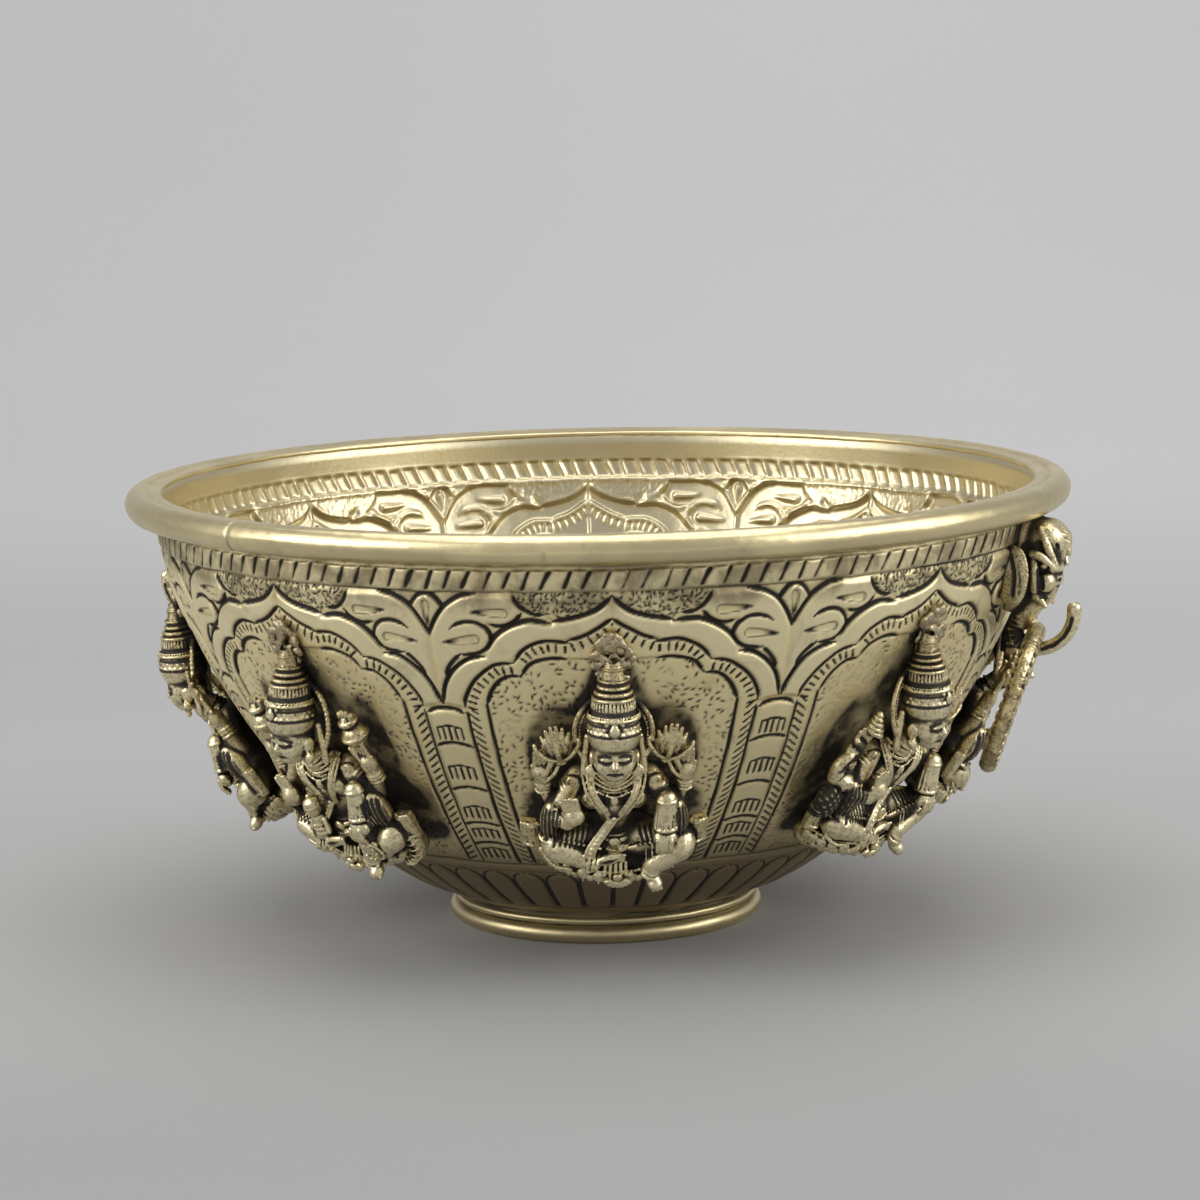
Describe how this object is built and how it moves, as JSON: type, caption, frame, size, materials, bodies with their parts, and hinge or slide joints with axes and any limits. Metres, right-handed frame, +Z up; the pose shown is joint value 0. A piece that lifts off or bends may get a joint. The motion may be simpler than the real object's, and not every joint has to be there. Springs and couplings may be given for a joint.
{
  "type": "offering bowl",
  "caption": "Round embossed brass offering bowl on a turned foot ring, with cast seated figures round the wall and elephant-head ring handles.",
  "frame": {"origin": "centre of the foot's resting plane, on the bowl's axis", "axes": "+Z up along the bowl's axis, +X through the right ring handle, -Y between the lotus and child figures"},
  "size_m": [0.3194, 0.304, 0.1437],
  "materials": {
    "embossed_brass": "antiqued, engraved lines filled with dark patina",
    "polished_brass": "satin polished",
    "cast_brass": "cast and darkened, rubbed bright on the high places",
    "ring_brass": "hatched, antiqued",
    "braze_metal": "rough brazing metal"
  },
  "bodies": {
    "bowl": {"bowl_shell": "embossed_brass", "rim_bead": "polished_brass", "foot_ring": "polished_brass", "braze_spots": "braze_metal", "elephant_bracket_right": "cast_brass", "elephant_bracket_left": "cast_brass", "lotus_figure": "cast_brass", "child_figure": "cast_brass", "coin_figure": "cast_brass", "grain_figure": "cast_brass", "elephant_figure": "cast_brass", "shield_figure": "cast_brass", "book_figure": "cast_brass", "conch_figure": "cast_brass"},
    "ring_right": {"ring_handle_right": "ring_brass"},
    "ring_left": {"ring_handle_left": "ring_brass"}
  },
  "joints": [
    {"name": "ring_right_swing", "type": "hinge", "parent": "bowl", "child": "ring_right", "pos_m": [0.1452, 0, 0.0975], "axis": [0, -1, 0], "range_deg": [-16, 182]},
    {"name": "ring_left_swing", "type": "hinge", "parent": "bowl", "child": "ring_left", "pos_m": [-0.1452, 0, 0.0975], "axis": [0, 1, 0], "range_deg": [-16, 182]}
  ]
}
